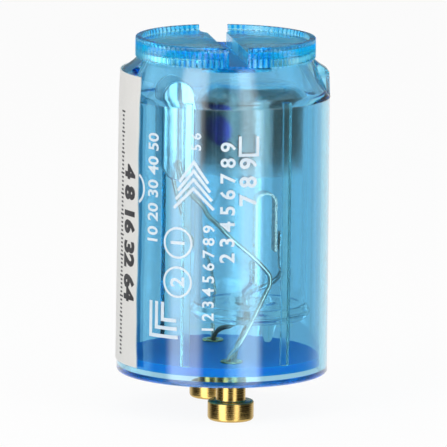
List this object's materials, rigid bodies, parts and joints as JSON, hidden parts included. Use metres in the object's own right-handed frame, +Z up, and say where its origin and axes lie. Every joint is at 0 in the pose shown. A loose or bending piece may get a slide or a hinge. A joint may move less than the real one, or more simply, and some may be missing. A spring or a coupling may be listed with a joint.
{
  "type": "fluorescent starter",
  "caption": "Clear blue starter canister with knurled slotted ring, glow switch bulb and capacitor inside, paper label and brass contact pins under a blue base disc.",
  "frame": {"origin": "on the canister's axis, in the plane of the undersides of the two contact pins", "axes": "+Z up along the canister's axis, +Y through the two contact pins and along the tool slot, +X to the side away from the label"},
  "size_m": [0.0217, 0.0216, 0.0383],
  "materials": {
    "clear_blue_plastic": "clear, glossy moulding",
    "deep_blue_plastic": "satin",
    "pin_brass": "turned, polished",
    "bulb_glass": "clear, with a dark getter mirror at the top",
    "stem_glass": "clear, fire polished",
    "bimetal": "rolled strip",
    "post_nickel": "drawn wire",
    "dark_lead": "oxidised wire",
    "metallised_film": "wound metallised film",
    "sprayed_metal": "rough sprayed metal",
    "tinned_wire": "tinned, bright",
    "label_paper": "coated white"
  },
  "bodies": {
    "root": {"canister": "clear_blue_plastic", "base_disc": "deep_blue_plastic", "front_contact_pin": "pin_brass", "rear_contact_pin": "pin_brass", "bulb_envelope": "bulb_glass", "bulb_stem": "stem_glass", "bimetal_strip": "bimetal", "bimetal_post": "post_nickel", "fixed_electrode": "post_nickel", "bulb_lead_front": "dark_lead", "bulb_lead_rear": "dark_lead", "capacitor_roll": "metallised_film", "capacitor_end_front": "sprayed_metal", "capacitor_end_rear": "sprayed_metal", "capacitor_lead_front": "tinned_wire", "capacitor_lead_rear": "tinned_wire", "label": "label_paper"}
  },
  "joints": []
}
